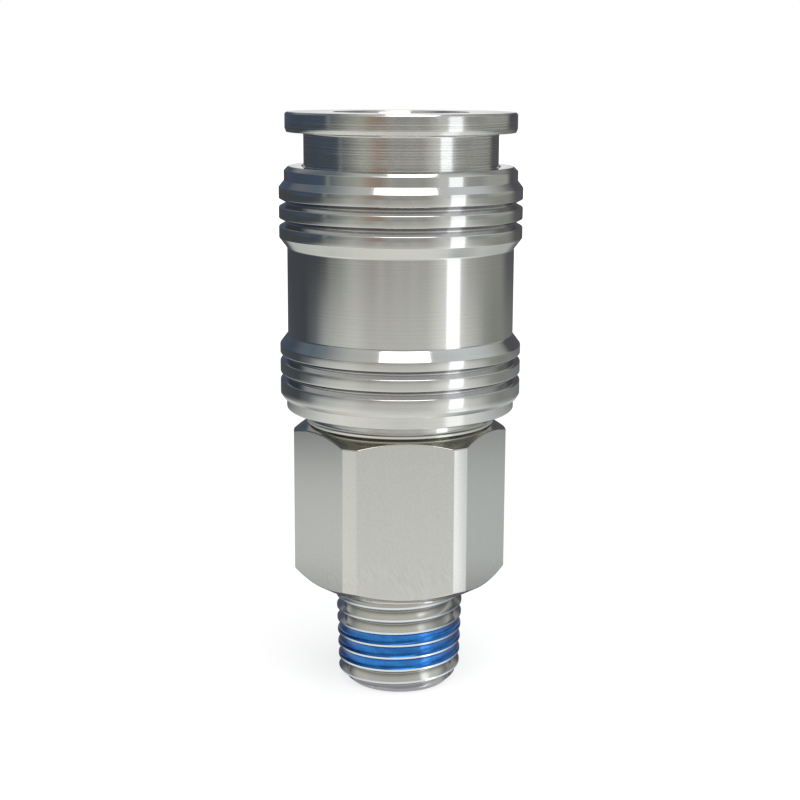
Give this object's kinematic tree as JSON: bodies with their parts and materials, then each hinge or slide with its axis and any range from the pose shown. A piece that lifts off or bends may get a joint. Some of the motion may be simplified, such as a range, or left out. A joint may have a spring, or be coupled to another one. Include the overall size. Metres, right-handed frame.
{
  "type": "quick coupling socket",
  "caption": "Stainless air-line quick coupling socket: ribbed release sleeve that slides towards a nose flange, ball lock, shut-off valve, hexagon and male taper pipe thread.",
  "frame": {"origin": "centre of the thread's free end, on the surface that the socket stands on", "axes": "+Z along the axis towards the mouth for the plug, +X through a corner of the hexagon, +Y square to a flat"},
  "size_m": [0.0256, 0.0256, 0.0618],
  "materials": {
    "turned_steel": "finely turned, bright",
    "hex_steel": "drawn bar, satin",
    "ball_steel": "ground and polished",
    "spring_steel": "drawn wire",
    "seal_rubber": "moulded rubber",
    "thread_sealant": "dried glossy sealant"
  },
  "bodies": {
    "barrel": {"adapter": "hex_steel", "stop_ring": "turned_steel", "socket_body": "turned_steel", "plug_seal": "seal_rubber", "body_seal": "seal_rubber", "valve_spring": "spring_steel"},
    "sleeve_spring_body": {"sleeve_spring": "spring_steel"},
    "sleeve": {"release_sleeve": "turned_steel"},
    "valve": {"valve_poppet": "turned_steel", "valve_seal": "seal_rubber"},
    "ball_1": {"locking_ball_1": "ball_steel"},
    "ball_2": {"locking_ball_2": "ball_steel"},
    "ball_3": {"locking_ball_3": "ball_steel"},
    "ball_4": {"locking_ball_4": "ball_steel"},
    "ball_5": {"locking_ball_5": "ball_steel"},
    "ball_6": {"locking_ball_6": "ball_steel"}
  },
  "joints": [
    {"name": "sleeve_turn", "type": "hinge", "parent": "barrel", "child": "sleeve_spring_body", "pos_m": [0, 0, 0.0466], "axis": [0, 0, 1], "continuous": true},
    {"name": "sleeve_slide", "type": "slide", "parent": "sleeve_spring_body", "child": "sleeve", "axis": [0, 0, 1], "range_m": [0, 0.003], "stiffness_N_per_m": 1070, "springref_m": -0.0114, "deforming": ["sleeve_spring"]},
    {"name": "valve_slide", "type": "slide", "parent": "barrel", "child": "valve", "axis": [0, 0, -1], "range_m": [0, 0.004], "stiffness_N_per_m": 1020, "springref_m": -0.0055, "deforming": ["valve_spring"]},
    {"name": "ball_slide_1", "type": "slide", "parent": "barrel", "child": "ball_1", "axis": [1, 0, 0], "range_m": [0, 0.00107]},
    {"name": "ball_slide_2", "type": "slide", "parent": "barrel", "child": "ball_2", "axis": [0.5, 0.866, 0], "range_m": [0, 0.00107]},
    {"name": "ball_slide_3", "type": "slide", "parent": "barrel", "child": "ball_3", "axis": [-0.5, 0.866, 0], "range_m": [0, 0.00107]},
    {"name": "ball_slide_4", "type": "slide", "parent": "barrel", "child": "ball_4", "axis": [-1, 0, 0], "range_m": [0, 0.00107]},
    {"name": "ball_slide_5", "type": "slide", "parent": "barrel", "child": "ball_5", "axis": [-0.5, -0.866, 0], "range_m": [0, 0.00107]},
    {"name": "ball_slide_6", "type": "slide", "parent": "barrel", "child": "ball_6", "axis": [0.5, -0.866, 0], "range_m": [0, 0.00107]}
  ],
  "couplings": [
    {"joint": "ball_slide_1", "follows": "sleeve_slide", "ratio": 0.35666},
    {"joint": "ball_slide_2", "follows": "sleeve_slide", "ratio": 0.35666},
    {"joint": "ball_slide_3", "follows": "sleeve_slide", "ratio": 0.35666},
    {"joint": "ball_slide_4", "follows": "sleeve_slide", "ratio": 0.35666},
    {"joint": "ball_slide_5", "follows": "sleeve_slide", "ratio": 0.35666},
    {"joint": "ball_slide_6", "follows": "sleeve_slide", "ratio": 0.35666}
  ]
}
